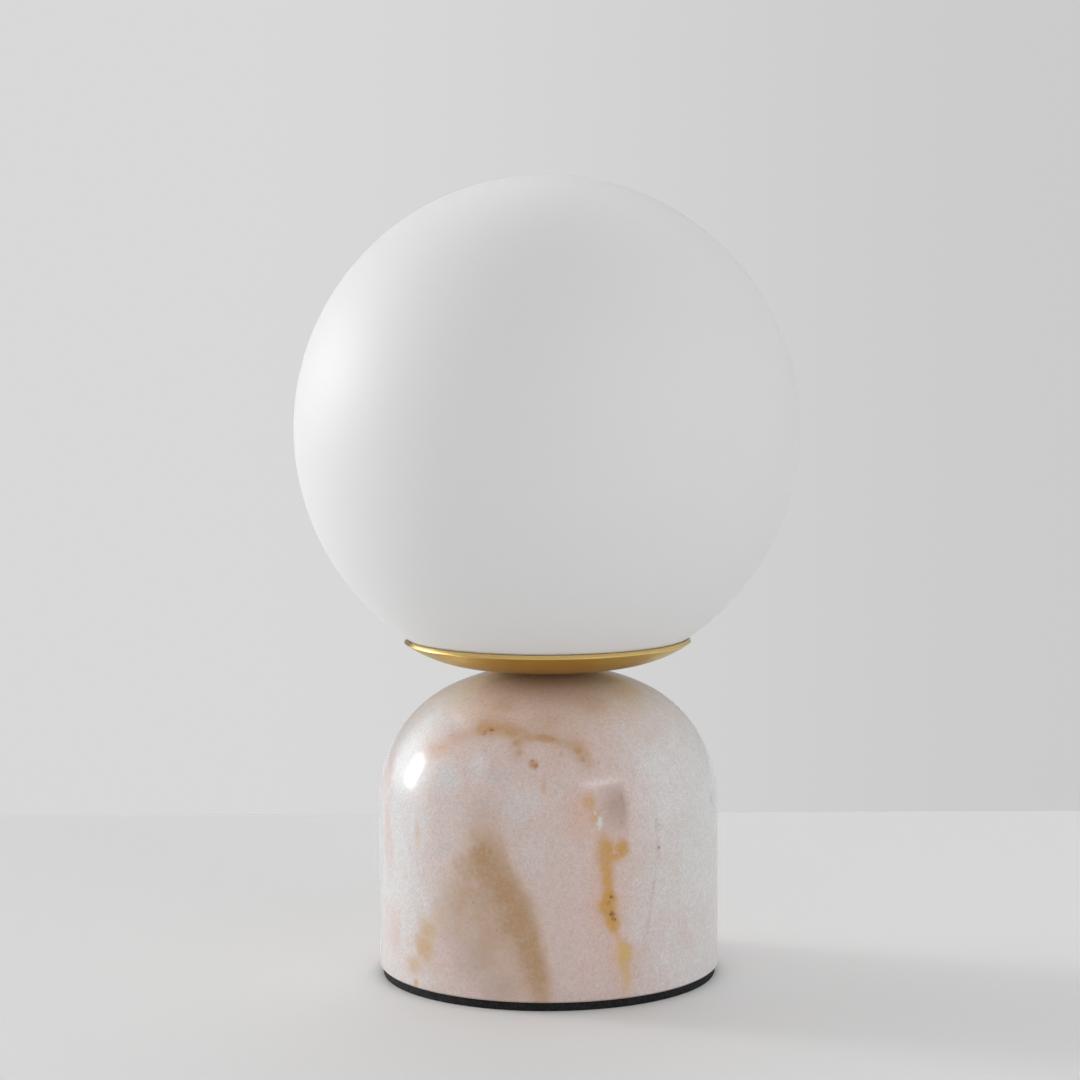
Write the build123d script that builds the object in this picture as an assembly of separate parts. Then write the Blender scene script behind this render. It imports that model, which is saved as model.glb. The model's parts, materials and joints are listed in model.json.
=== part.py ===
from build123d import *
import os
from math import acos, asin, atan2, cos, degrees, hypot, radians, sin, sqrt

# Glass globe table lamp, in millimetres, +Z up, with the back of the lamp towards +Y.
# The origin is the centre of the foot pad's underside, on the axis that every turned piece shares.

# Foot pad, under the stone
pad_thickness = 3.4
pad_inset = 1.1                 # the pad's edge stands this far in from the stone's side

# Marble base: straight side, round shoulder and a flatter crown, tangent to each other
base_radius = 68.0
side_height = 66.3
shoulder_radius = 50.0
crown_radius = 94.5
foot_bevel = 0.7
cavity_radius = 30.0            # wiring space hollowed out from below
cavity_height = 26.0
cable_height = 14.0             # axis of the cable hole above the stone's underside

# Cable entry at the back
grommet_bore_radius = 3.4
grommet_wall = 2.8
grommet_length = 16.0
flange_width = 2.8
flange_thickness = 2.0
flange_round = 0.33             # share of the flange's thickness
spotface_depth = 2.0            # flat cut for the flange in the round side
grommet_gap = 0.05

# Threaded stem, drawn at its thread's outer diameter, and the nuts and washers on it
stem_radius = 5.0
stem_wall = 1.0
stem_tail = 3.5                 # stem left below the base nut
thread_gap = 0.05
sheet_gap = 0.25                # hole in a sheet part, round the stem
stone_gap = 0.6                 # hole in the stone, round the stem
nut_flats = 14.0
nut_height = 3.5
nut_bevel = 0.7
clamp_washer_radius = 20.0
clamp_washer_thickness = 2.0
lock_washer_radius = 8.0
lock_washer_thickness = 1.6
lock_washer_split = 1.2
bush_lip = 1.0                  # plastic bush in the stem's lower mouth
bush_wall = 0.6
bush_depth = 8.0

# Brass dish: flat floor, sweep up, then a rim that follows the globe
gasket_radius = 14.0
gasket_thickness = 1.7
seat_margin = 0.4               # flat ground on the crown past the gasket
dish_thickness = 1.5
dish_rim_radius = 57.3
dish_sweep_radius = 52.0
dish_clearance = 0.6            # between the dish's rim and the glass

# Opal glass globe, open below
globe_radius = 100.0
glass_thickness = 2.5
mouth_radius = 43.1
mouth_land = 0.5                # height of the ground bore, below the curve of the inside
edge_round = 0.5

# Ring that the glass stands on
seal_thickness = 1.63           # at its inner edge, where the dish is lowest
seal_gap = 0.4                  # in from the glass mouth
seal_reach = 1.0                # short of the glass's outside
seal_seat_gap = 0.1             # to the dish, under the ring

# Spring gallery that grips the glass mouth from inside
plate_thickness = 1.0
plate_margin = 1.8              # inside the flat of the dish
spring_count = 3
spring_first_angle = 90.0
spring_thickness = 0.5
spring_width = 8.0
spring_foot_radius = 14.0       # where each foot starts
spring_bulge_radius = 2.0
spring_bulge_lift = 0.25        # bulge above the cut edge, level with the ground bore
spring_floor_gap = 0.15         # between the bend in the spring and the dish's sweep
spring_return = 118.0           # direction of the tip, from level
spring_tip = 9.0
spring_gap = 0.35               # between the bulge and the glass
rivet_circle_radius = 20.0
rivet_radius = 1.2
rivet_head_radius = 2.3
rivet_head_height = 1.1
rivet_head_round = 0.9          # share of the head's height
rivet_gap = 0.05
dish_washer_radius = 10.5
dish_washer_thickness = 1.0

# Sleeve round the stem, between the dish and the lamp holder
sleeve_height = 31.2
sleeve_radius = 7.0
sleeve_gap = 0.3

# Lamp holder for two-pin push-in lamps with pins 9 mm apart
holder_radius = 12.0
holder_height = 22.0
holder_recess_radius = 6.2      # wiring space under the ceramic
holder_recess_depth = 4.5
cup_thickness = 0.8
cup_gap = 0.4
cup_round = 3.0
cup_step = 1.0                  # cup's lip below the ceramic's top
bracket_thickness = 2.0
screw_circle_radius = 8.6
screw_radius = 1.25
screw_head_radius = 2.3
screw_head_height = 1.6
screw_head_depth = 7.0          # head's top below the ceramic's top
screw_slot_width = 0.7
screw_slot_depth = 0.8
screw_gap = 0.15
pin_spacing = 9.0
pin_wire_radius = 0.4
pin_loop_width = 2.6
pin_length = 6.5
pin_set_depth = 3.0             # pin held inside the bulb's foot
pin_gap = 0.05
clip_thickness = 0.4
clip_width = 3.2
clip_height = 8.0
clip_gap = 0.15                 # between the clip and its pocket
pocket_depth = 9.0
wire_hole_radius = 0.6

# Push-in bulb
foot_width = 15.0
foot_depth = 8.0
foot_height = 5.0
foot_corner_round = 0.25        # share of the foot's depth
collar_radius = 8.6
collar_height = 9.0
collar_bevel = 0.17             # share of the collar's height
cover_radius = 9.5
cover_height = 38.0
cover_thickness = 1.0
cover_seat_height = 1.5
core_width = 6.5
core_height = 27.0
chip_columns = 4
chip_rows = 6
chip_width = 3.0
chip_height = 2.0
chip_thickness = 0.6
chip_pitch = 4.0

straight_down = -90.0
half_turn = 180.0
full_turn = 360.0
on_base = (Align.CENTER, Align.CENTER, Align.MIN)
lamp_axis = Axis.Z

# Heights and radii that follow from the sizes above, from the floor up
stone_bottom = pad_thickness
shoulder_z = stone_bottom + side_height
shoulder_centre_r = base_radius - shoulder_radius
crown_centre_z = shoulder_z - sqrt((crown_radius - shoulder_radius) ** 2 - shoulder_centre_r ** 2)
seat_radius = gasket_radius + seat_margin
seat_z = crown_centre_z + sqrt(crown_radius ** 2 - seat_radius ** 2)
cavity_top = stone_bottom + cavity_height
cable_z = stone_bottom + cable_height
base_nut_top = cavity_top - clamp_washer_thickness - lock_washer_thickness
stem_bottom = base_nut_top - nut_height - stem_tail

dish_bottom = seat_z + gasket_thickness
dish_floor = dish_bottom + dish_thickness
dish_face_radius = dish_sweep_radius - dish_thickness
dish_outer_sphere = globe_radius + dish_clearance + dish_thickness
sweep_centre_z = dish_bottom + dish_sweep_radius
globe_inner_radius = globe_radius - glass_thickness
mouth_depth = mouth_land + sqrt(globe_inner_radius ** 2 - mouth_radius ** 2)
glass_foot_radius = sqrt(globe_radius ** 2 - mouth_depth ** 2)

# The ring stands on the dish's sweep, the glass stands on the ring, and the sweep runs into a rim round
# the globe. So the globe's centre, the sweep's centre and the ring's seat make a triangle of known sides.
seal_inner_radius = mouth_radius + seal_gap
seal_depth = mouth_depth + seal_thickness + seal_seat_gap
globe_to_seat = hypot(seal_inner_radius, seal_depth)
globe_to_sweep = dish_outer_sphere - dish_sweep_radius
corner_cosine = (dish_face_radius ** 2 + globe_to_seat ** 2 - globe_to_sweep ** 2) / (
    2 * dish_face_radius * globe_to_seat
)
seat_lean = atan2(seal_inner_radius, seal_depth) - acos(corner_cosine)
sweep_centre_r = seal_inner_radius - dish_face_radius * sin(seat_lean)
globe_z = sweep_centre_z - dish_face_radius * cos(seat_lean) + seal_depth
mouth_z = globe_z - mouth_depth
sweep_end_angle = degrees(atan2(sweep_centre_z - globe_z, sweep_centre_r))
rim_angle = degrees(atan2(-sqrt(dish_outer_sphere ** 2 - dish_rim_radius ** 2), dish_rim_radius))

plate_radius = sweep_centre_r - plate_margin
plate_top = dish_floor + plate_thickness
spring_top = plate_top + spring_thickness
dish_nut_bottom = plate_top + dish_washer_thickness
sleeve_bottom = dish_nut_bottom + nut_height
cup_bottom = sleeve_bottom + sleeve_height
cup_floor = cup_bottom + cup_thickness
holder_nut_bottom = cup_floor + lock_washer_thickness
bracket_bottom = holder_nut_bottom + nut_height
holder_bottom = bracket_bottom + bracket_thickness
holder_top = holder_bottom + holder_height
stem_top = holder_bottom

foot_top = holder_top + foot_height
collar_top = foot_top + collar_height
pocket_floor = holder_top - pocket_depth


def spot(radius, angle, height):
    # Point at a radius and angle round the lamp's axis.
    return radius * cos(radians(angle)), radius * sin(radians(angle)), height


def disc(radius, bottom, height):
    return Pos(0, 0, bottom) * Cylinder(radius, height, align=on_base)


def ring(inner, outer, bottom, height):
    return disc(outer, bottom, height) - disc(inner, bottom, height)


def turned(*outline):
    # Body of revolution from a closed outline, drawn as radius and height.
    return revolve(Plane.XZ * make_face(outline), lamp_axis)


def hex_nut(bottom):
    # Nut for the stem, its corners bevelled above and below.
    blank = disc(nut_flats / sqrt(3), bottom, nut_height)
    blank = chamfer(blank.edges().filter_by(GeomType.CIRCLE), nut_bevel)
    prism = Pos(0, 0, bottom) * extrude(RegularPolygon(nut_flats / 2, 6, major_radius=False), nut_height)
    return (blank & prism) - disc(stem_radius + thread_gap, bottom, nut_height)


def lock_washer(bottom):
    # Split ring under a nut.
    washer = ring(stem_radius + sheet_gap, lock_washer_radius, bottom, lock_washer_thickness)
    split = Box(
        lock_washer_radius * 2, lock_washer_split, lock_washer_thickness,
        align=(Align.MIN, Align.CENTER, Align.MIN),
    )
    return washer - Pos(0, 0, bottom) * split


def foot_pad():
    return disc(base_radius - pad_inset, 0, pad_thickness)


def cable_hole_seat():
    # Where the cable hole opens at the back: +Z of this place points straight out of the stone.
    return Location((0, base_radius - spotface_depth, cable_z), (-90, 0, 0))


def marble_base():
    join_angle = degrees(atan2(shoulder_z - crown_centre_z, shoulder_centre_r))
    seat_angle = degrees(atan2(seat_z - crown_centre_z, seat_radius))
    shoulder = CenterArc((shoulder_centre_r, shoulder_z), shoulder_radius, 0, join_angle)
    crown = CenterArc((0, crown_centre_z), crown_radius, join_angle, seat_angle - join_angle)
    side = Polyline(
        (seat_radius, seat_z), (0, seat_z), (0, stone_bottom), (base_radius - foot_bevel, stone_bottom),
        (base_radius, stone_bottom + foot_bevel), (base_radius, shoulder_z),
    )
    stone = turned(side, shoulder, crown)
    stone -= disc(cavity_radius, stone_bottom, cavity_height)
    stone -= disc(stem_radius + stone_gap, stone_bottom, seat_z - stone_bottom)
    hole_radius = grommet_bore_radius + grommet_wall + grommet_gap
    inward = base_radius - spotface_depth
    stone -= cable_hole_seat() * Pos(0, 0, -inward) * Cylinder(hole_radius, inward, align=on_base)
    spotface_radius = grommet_bore_radius + grommet_wall + flange_width + grommet_gap
    return stone - cable_hole_seat() * Cylinder(spotface_radius, spotface_depth * 2, align=on_base)


def cord_grommet():
    shank_radius = grommet_bore_radius + grommet_wall
    shank = Pos(0, 0, -grommet_length) * Cylinder(shank_radius, grommet_length, align=on_base)
    flange = Cylinder(shank_radius + flange_width, flange_thickness, align=on_base)
    flange = fillet(flange.edges().group_by(Axis.Z)[-1], flange_thickness * flange_round)
    length = grommet_length + flange_thickness
    bore = Pos(0, 0, -grommet_length) * Cylinder(grommet_bore_radius, length, align=on_base)
    return cable_hole_seat() * (shank + flange - bore)


def clamp_washer():
    bottom = cavity_top - clamp_washer_thickness
    return ring(stem_radius + sheet_gap, clamp_washer_radius, bottom, clamp_washer_thickness)


def stem_tube():
    return ring(stem_radius - stem_wall, stem_radius, stem_bottom, stem_top - stem_bottom)


def stem_bush():
    # Lipped bush that keeps the wires off the stem's cut end.
    bore_radius = stem_radius - stem_wall
    sleeve = disc(bore_radius - thread_gap, stem_bottom, bush_depth)
    lip = disc(stem_radius, stem_bottom - bush_lip, bush_lip)
    wire_way = disc(bore_radius - bush_wall, stem_bottom - bush_lip, bush_depth + bush_lip)
    return sleeve + lip - wire_way


def dish_gasket():
    return ring(stem_radius + sheet_gap, gasket_radius, seat_z, gasket_thickness)


def dish_profile(offset):
    # Floor end, sweep and rim arcs of the dish, moved in from its underside by an offset.
    centre = (sweep_centre_r, sweep_centre_z)
    sweep = CenterArc(centre, dish_sweep_radius - offset, straight_down, sweep_end_angle - straight_down)
    rim = CenterArc((0, globe_z), dish_outer_sphere - offset, sweep_end_angle, rim_angle - sweep_end_angle)
    return sweep, rim


def brass_dish():
    under_sweep, under_rim = dish_profile(0)
    upper_sweep, upper_rim = dish_profile(dish_thickness)
    hole = stem_radius + sheet_gap
    floor = Polyline(upper_sweep @ 0, (hole, dish_floor), (hole, dish_bottom), under_sweep @ 0)
    edge = Line(under_rim @ 1, upper_rim @ 1)
    return turned(floor, under_sweep, under_rim, edge, upper_rim, upper_sweep)


def dish_height(radius):
    # Height of the dish's upper face in its sweep.
    return sweep_centre_z - sqrt(dish_face_radius ** 2 - (radius - sweep_centre_r) ** 2)


def dish_radius(height):
    # Radius at which the dish's upper face reaches a height.
    return sweep_centre_r + sqrt(dish_face_radius ** 2 - (sweep_centre_z - height) ** 2)


def globe_seal():
    outer = glass_foot_radius - seal_reach
    return turned(Polyline(
        (seal_inner_radius, mouth_z - seal_thickness), (outer, dish_height(outer) + seal_seat_gap),
        (outer, mouth_z), (seal_inner_radius, mouth_z), close=True,
    ))


def glass_globe():
    shell = Pos(0, 0, globe_z) * (Sphere(globe_radius) - Sphere(globe_inner_radius))
    below = disc(globe_radius, globe_z - globe_radius, mouth_z - globe_z + globe_radius)
    shell -= below + disc(mouth_radius, mouth_z, mouth_land * 2)
    cut_edges = shell.edges().filter_by(GeomType.CIRCLE).group_by(Axis.Z)[0]
    return fillet(cut_edges.sort_by(SortBy.RADIUS)[-1], edge_round)


def gallery_plate():
    plate = ring(stem_radius + sheet_gap, plate_radius, dish_floor, plate_thickness)
    for angle in spring_angles():
        plate -= Pos(*spot(rivet_circle_radius, angle, dish_floor)) * Cylinder(
            rivet_radius + rivet_gap, plate_thickness, align=on_base
        )
    return plate


def spring_angles():
    return [spring_first_angle + turn * full_turn / spring_count for turn in range(spring_count)]


def gallery_spring():
    # Bent strip: flat foot, slope up to the bulge that grips the glass mouth, tip leaning back in.
    reach = sqrt((mouth_radius - spring_gap) ** 2 - (spring_width / 2) ** 2)
    bulge_r = reach - spring_bulge_radius
    bulge_z = mouth_z + spring_bulge_lift
    middle = spring_bulge_radius - spring_thickness / 2
    foot_z = plate_top + spring_thickness / 2
    bend_r = dish_radius(plate_top - spring_floor_gap)
    across, up = bulge_r - bend_r, bulge_z - foot_z
    rise = degrees(atan2(up, across) - asin(middle / hypot(across, up)))
    bulge = CenterArc((bulge_r, bulge_z), middle, rise + straight_down, spring_return - rise)
    foot = Polyline((spring_foot_radius, foot_z), (bend_r, foot_z), bulge @ 0)
    end = bulge @ 1
    tip = Line(end, end + Vector(cos(radians(spring_return)), sin(radians(spring_return))) * spring_tip)
    strip = Plane.XZ * trace([foot, bulge, tip], spring_thickness)
    spring = extrude(strip, spring_width / 2, both=True)
    return spring - Pos(rivet_circle_radius, 0, plate_top) * Cylinder(
        rivet_radius + rivet_gap, spring_thickness, align=on_base
    )


def round_gallery(piece):
    # One copy of a piece for each spring, turned about the lamp's axis.
    return Compound(children=[Rot(0, 0, angle) * piece for angle in spring_angles()])


def spring_rivet():
    shank = disc(rivet_radius, dish_floor, spring_top - dish_floor)
    head = disc(rivet_head_radius, spring_top, rivet_head_height)
    head = fillet(head.edges().group_by(Axis.Z)[-1], rivet_head_height * rivet_head_round)
    return Pos(rivet_circle_radius, 0, 0) * (shank + head)


def dish_washer():
    return ring(stem_radius + sheet_gap, dish_washer_radius, plate_top, dish_washer_thickness)


def stem_sleeve():
    return ring(stem_radius + sleeve_gap, sleeve_radius, sleeve_bottom, sleeve_height)


def holder_cup():
    # Deep cup round the ceramic, with a rounded heel.
    outer = holder_radius + cup_gap + cup_thickness
    height = holder_top - cup_step - cup_bottom
    outside = fillet(disc(outer, cup_bottom, height).edges().group_by(Axis.Z)[0], cup_round)
    inside = disc(outer - cup_thickness, cup_floor, height)
    inside = fillet(inside.edges().group_by(Axis.Z)[0], cup_round - cup_thickness)
    return outside - inside - disc(stem_radius + sheet_gap, cup_bottom, cup_thickness)


def screw_places():
    return [Pos(0, side * screw_circle_radius, 0) for side in (-1, 1)]


def pin_places():
    return [Pos(side * pin_spacing / 2, 0, 0) for side in (-1, 1)]


def holder_bracket():
    # Strip screwed on to the stem, with a tapped hole for each holder screw.
    plate = ring(stem_radius + thread_gap, holder_radius, bracket_bottom, bracket_thickness)
    for place in screw_places():
        plate -= place * disc(screw_radius + thread_gap, bracket_bottom, bracket_thickness)
    return plate


def holder_ceramic():
    block = disc(holder_radius, holder_bottom, holder_height)
    block = chamfer(block.edges().group_by(Axis.Z)[-1], cup_gap * 2)
    block -= disc(holder_recess_radius, holder_bottom, holder_recess_depth)
    head_seat = holder_top - screw_head_depth - screw_head_height
    for place in screw_places():
        block -= place * disc(screw_radius + screw_gap, holder_bottom, holder_height)
        block -= place * disc(screw_head_radius + screw_gap, head_seat, holder_top - head_seat)
    for place in pin_places():
        block -= place * Pos(0, 0, pocket_floor) * Box(
            clip_outer_width() + 2 * clip_gap, clip_width + 2 * clip_gap, pocket_depth, align=on_base
        )
        block -= place * disc(wire_hole_radius, holder_bottom, holder_height)
    return block


def holder_screw():
    bottom = bracket_bottom
    head_seat = holder_top - screw_head_depth - screw_head_height
    shank = disc(screw_radius, bottom, head_seat - bottom)
    head = disc(screw_head_radius, head_seat, screw_head_height)
    slot = Pos(0, 0, head_seat + screw_head_height - screw_slot_depth) * Box(
        screw_head_radius * 2, screw_slot_width, screw_slot_depth, align=on_base
    )
    return shank + head - slot


def clip_outer_width():
    return 2 * (pin_wire_radius + pin_gap + clip_thickness)


def contact_clip():
    # Folded strip with one leaf on each side of a pin.
    outer = Pos(0, 0, pocket_floor) * Box(clip_outer_width(), clip_width, clip_height, align=on_base)
    gap = Pos(0, 0, pocket_floor + clip_thickness) * Box(
        2 * (pin_wire_radius + pin_gap), clip_width, clip_height, align=on_base
    )
    return outer - gap


def pair(piece, places):
    return Compound(children=[place * piece for place in places])


def bulb_pin():
    # Loop of wire: two legs joined by a half round at the tip.
    bend = pin_loop_width / 2 - pin_wire_radius
    top = holder_top + pin_set_depth
    low = holder_top - pin_length + pin_wire_radius + bend
    tip = CenterArc((0, low), bend, half_turn, half_turn)
    path = Plane.YZ * Wire([Line((-bend, top), tip @ 0), tip, Line(tip @ 1, (bend, top))])
    return sweep(Plane(path @ 0, z_dir=path % 0) * Circle(pin_wire_radius), path)


def bulb_foot():
    # Flat block over the pins, widening into the round collar that carries the cover.
    block = Pos(0, 0, holder_top) * Box(foot_width, foot_depth, foot_height, align=on_base)
    block = fillet(block.edges().filter_by(Axis.Z), foot_depth * foot_corner_round)
    collar = disc(collar_radius, foot_top, collar_height)
    collar = chamfer(collar.edges().group_by(Axis.Z)[0], collar_height * collar_bevel)
    seat = disc(cover_radius - cover_thickness - pin_gap, collar_top, cover_seat_height)
    foot = block + collar + seat
    leg = pin_loop_width / 2 - pin_wire_radius
    for place in pin_places():
        for side in (-1, 1):
            foot -= place * Pos(0, side * leg, 0) * disc(pin_wire_radius + pin_gap, holder_top, pin_set_depth)
    return foot


def bulb_cover():
    # Thimble of opal plastic: straight side and a half-round top.
    side = cover_height - cover_radius
    outside = disc(cover_radius, collar_top, side) + Pos(0, 0, collar_top + side) * Sphere(cover_radius)
    inner = cover_radius - cover_thickness
    inside = disc(inner, collar_top, side) + Pos(0, 0, collar_top + side) * Sphere(inner)
    return outside - inside


def core_bottom():
    return collar_top + cover_seat_height


def led_core():
    return Pos(0, 0, core_bottom()) * Box(core_width, core_width, core_height, align=on_base)


def led_chips():
    chip = Box(chip_thickness, chip_width, chip_height, align=(Align.MIN, Align.CENTER, Align.CENTER))
    first = core_bottom() + (core_height - (chip_rows - 1) * chip_pitch) / 2
    chips = []
    for column in range(chip_columns):
        for row in range(chip_rows):
            place = Pos(core_width / 2, 0, first + row * chip_pitch)
            chips.append(Rot(0, 0, column * full_turn / chip_columns) * place * chip)
    return Compound(children=chips)


nodes = {
    "foot_pad": foot_pad(),
    "marble_base": marble_base(),
    "cord_grommet": cord_grommet(),
    "clamp_washer": clamp_washer(),
    "base_lock_washer": lock_washer(base_nut_top),
    "base_nut": hex_nut(base_nut_top - nut_height),
    "stem_tube": stem_tube(),
    "stem_bush": stem_bush(),
    "dish_gasket": dish_gasket(),
    "brass_dish": brass_dish(),
    "globe_seal": globe_seal(),
    "glass_globe": glass_globe(),
    "gallery_plate": gallery_plate(),
    "gallery_springs": round_gallery(gallery_spring()),
    "spring_rivets": round_gallery(spring_rivet()),
    "dish_washer": dish_washer(),
    "dish_nut": hex_nut(dish_nut_bottom),
    "stem_sleeve": stem_sleeve(),
    "holder_cup": holder_cup(),
    "holder_lock_washer": lock_washer(cup_floor),
    "holder_nut": hex_nut(holder_nut_bottom),
    "holder_bracket": holder_bracket(),
    "holder_ceramic": holder_ceramic(),
    "holder_screws": pair(holder_screw(), screw_places()),
    "contact_clips": pair(contact_clip(), pin_places()),
    "bulb_pins": pair(bulb_pin(), pin_places()),
    "bulb_foot": bulb_foot(),
    "bulb_cover": bulb_cover(),
    "led_core": led_core(),
    "led_chips": led_chips(),
}

os.makedirs("parts", exist_ok=True)
for name, shape in nodes.items():
    export_step(shape, f"parts/{name}.step")
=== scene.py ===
import json
import math
import bpy
from mathutils import Matrix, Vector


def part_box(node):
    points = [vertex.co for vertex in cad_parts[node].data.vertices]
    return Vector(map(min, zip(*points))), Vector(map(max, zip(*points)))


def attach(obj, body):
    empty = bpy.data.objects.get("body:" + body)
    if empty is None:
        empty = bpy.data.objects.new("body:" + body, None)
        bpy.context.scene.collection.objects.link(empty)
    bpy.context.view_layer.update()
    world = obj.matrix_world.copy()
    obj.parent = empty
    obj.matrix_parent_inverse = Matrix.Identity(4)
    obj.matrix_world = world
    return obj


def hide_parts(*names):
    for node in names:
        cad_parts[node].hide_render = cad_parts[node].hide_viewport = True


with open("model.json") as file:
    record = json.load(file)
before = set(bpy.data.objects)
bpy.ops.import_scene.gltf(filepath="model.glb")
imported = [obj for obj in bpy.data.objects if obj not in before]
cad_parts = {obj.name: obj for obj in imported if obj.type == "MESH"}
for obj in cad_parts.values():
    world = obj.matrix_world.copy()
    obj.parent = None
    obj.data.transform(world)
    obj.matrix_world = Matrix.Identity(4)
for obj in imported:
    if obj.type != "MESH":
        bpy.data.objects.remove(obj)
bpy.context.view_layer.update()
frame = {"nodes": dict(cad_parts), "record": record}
mm = 0.001
weld = 2e-6                     # metres; points of a turned piece that are closer become one
cadWeld = 1e-6                  # the same for the corners of a CAD solid

cameraSet = {
    "place": (0.0, -1.0938, 0.2738),
    "tiltDown": 5.235,          # degrees below level
    "turnLeft": 0.15,
    "roll": -0.28,
    "lens": 92.0,
    "sensor": 36.0,
    "nearest": 0.05,
}
floorSet = {
    "size": 7.0,
    "seen": 0.885,              # its tone to the camera and in mirrored views
    "lighting": 0.86,           # its tone for the light that it throws back on the lamp
    "roughness": 0.75,
}
backdropSet = {
    "behind": 0.33,             # from the lamp's axis
    "width": 5.0,
    "height": 2.6,
    "leftTone": 0.690,
    "rightTone": 0.600,
    "fadeFrom": -0.16,          # where the tone starts to fall, across the frame
    "fadeTo": 0.27,
}
# The room's light, all from the sky: azimuths from the front, negative to the left, in degrees.
skySet = {
    "level": 0.510,
    "toRight": 0.220,
    "toFront": 0.170,
    "seen": 0.66,               # what the camera sees past the backdrop
    "window": {
        "azimuth": -111.0, "elevation": 14.0, "halfWidth": 5.6, "halfHeight": 7.6,
        "edge": 3.4, "power": 16.0,
    },
    "glow": {
        "azimuth": -113.0, "elevation": 15.0, "halfWidth": 24.0, "halfHeight": 17.0,
        "edge": 14.0, "power": 2.35,
    },
    "strip": {
        "azimuth": 39.0, "elevation": 27.8, "halfWidth": 14.0, "halfHeight": 2.2,
        "edge": 2.2, "power": 3.2,
    },
    "bounce": {"elevation": 50.0, "reach": 30.0, "power": 0.9},     # off the ceiling behind the lamp
}


def srgb(red, green, blue):
    # A colour as read off a screen, 0 to 255, in the linear values that shaders take.
    def linear(level):
        level = level / 255
        return level / 12.92 if level <= 0.04045 else ((level + 0.055) / 1.055) ** 2.4
    return (linear(red), linear(green), linear(blue), 1.0)


class Level:
    # One output of a node; arithmetic on it adds Math nodes.
    def __init__(self, work, socket):
        self.work = work
        self.socket = socket

    def __add__(self, other):
        return self.work.maths("ADD", self, other)

    def __radd__(self, other):
        return self.work.maths("ADD", other, self)

    def __sub__(self, other):
        return self.work.maths("SUBTRACT", self, other)

    def __rsub__(self, other):
        return self.work.maths("SUBTRACT", other, self)

    def __mul__(self, other):
        return self.work.maths("MULTIPLY", self, other)

    def __rmul__(self, other):
        return self.work.maths("MULTIPLY", other, self)

    def __truediv__(self, other):
        return self.work.maths("DIVIDE", self, other)

    def __rtruediv__(self, other):
        return self.work.maths("DIVIDE", other, self)


class NodeWork:
    # The nodes of a material or of the sky, while they are being laid out.
    def __init__(self, tree):
        self.nodes = tree.nodes
        self.links = tree.links
        self.nodes.clear()

    def feed(self, socket, value):
        if isinstance(value, Level):
            self.links.new(value.socket, socket)
        else:
            socket.default_value = value

    def add(self, kind, settings=None, inputs=None, out=0):
        # Adds any node: its settings first, then the values or links of its sockets.
        node = self.nodes.new(kind)
        for key, value in (settings or {}).items():
            if key == "curve":
                self.drawCurve(node.mapping, value)
            else:
                setattr(node, key, value)
        for key, value in (inputs or {}).items():
            self.feed(node.inputs[key], value)
        return Level(self, node.outputs[out]) if len(node.outputs) else node

    def drawCurve(self, mapping, points):
        mapping.extend = "HORIZONTAL"
        drawn = mapping.curves[0].points
        while len(drawn) < len(points):
            drawn.new(0.5, 0.5)
        for point, place in zip(drawn, sorted(points)):
            point.location = place
            point.handle_type = "AUTO_CLAMPED"
        mapping.update()

    def maths(self, operation, *values):
        return self.add("ShaderNodeMath", {"operation": operation}, dict(enumerate(values)))

    def vector(self, operation, *values, out=0):
        return self.add("ShaderNodeVectorMath", {"operation": operation}, dict(enumerate(values)), out)

    def scaled(self, vector, factor):
        return self.add("ShaderNodeVectorMath", {"operation": "SCALE"}, {0: vector, "Scale": factor})

    def joined(self, x, y, z):
        return self.add("ShaderNodeCombineXYZ", None, {0: x, 1: y, 2: z})

    def parts(self, vector):
        return [self.add("ShaderNodeSeparateXYZ", None, {0: vector}, out) for out in range(3)]

    def grey(self, level):
        return self.add("ShaderNodeCombineColor", None, {0: level, 1: level, 2: level})

    def rise(self, value, low, high):
        # 0 below low, 1 above high, smooth between.
        sockets = {"Value": value, "From Min": low, "From Max": high}
        return self.add("ShaderNodeMapRange", {"interpolation_type": "SMOOTHSTEP"}, sockets)

    def fall(self, value, low, high):
        return 1 - self.rise(value, low, high)

    def between(self, value, edges):
        # Fades in from the first edge to the second, and out from the third to the fourth.
        return self.rise(value, *edges[:2]) * self.fall(value, *edges[2:])

    def clamped(self, value):
        return self.add("ShaderNodeClamp", None, {0: value})

    def highest(self, levels):
        top = levels[0]
        for level in levels[1:]:
            top = self.maths("MAXIMUM", top, level)
        return top


class Finish(NodeWork):
    # A material with its one shader.
    def __init__(self, name, **shaderValues):
        self.material = bpy.data.materials.new(name)
        self.material.use_nodes = True
        super().__init__(self.material.node_tree)
        self.shader = self.nodes.new("ShaderNodeBsdfPrincipled")
        self.output = self.nodes.new("ShaderNodeOutputMaterial")
        self.links.new(self.shader.outputs["BSDF"], self.output.inputs["Surface"])
        self.use(**shaderValues)

    def place(self):
        return self.add("ShaderNodeTexCoord", out="Object")

    def noise(self, place, size, detail=3.0, roughness=0.5, out="Fac"):
        # Size is that of one blotch, in the units of the place.
        sockets = {"Vector": place, "Scale": 1 / size, "Detail": detail, "Roughness": roughness}
        return self.add("ShaderNodeTexNoise", None, sockets, out)

    def cells(self, place, size, out="Distance"):
        return self.add("ShaderNodeTexVoronoi", None, {"Vector": place, "Scale": 1 / size}, out)

    def mix(self, factor, first, second, blend="MIX"):
        settings = {"data_type": "RGBA", "blend_type": blend}
        return self.add("ShaderNodeMix", settings, {0: factor, 6: first, 7: second}, 2)

    def bump(self, height, depth):
        return self.add("ShaderNodeBump", None, {"Height": height, "Distance": depth, "Strength": 1.0})

    def use(self, **inputs):
        for key, value in inputs.items():
            self.feed(self.shader.inputs[key.replace("_", " ")], value)
        return self.material


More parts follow.
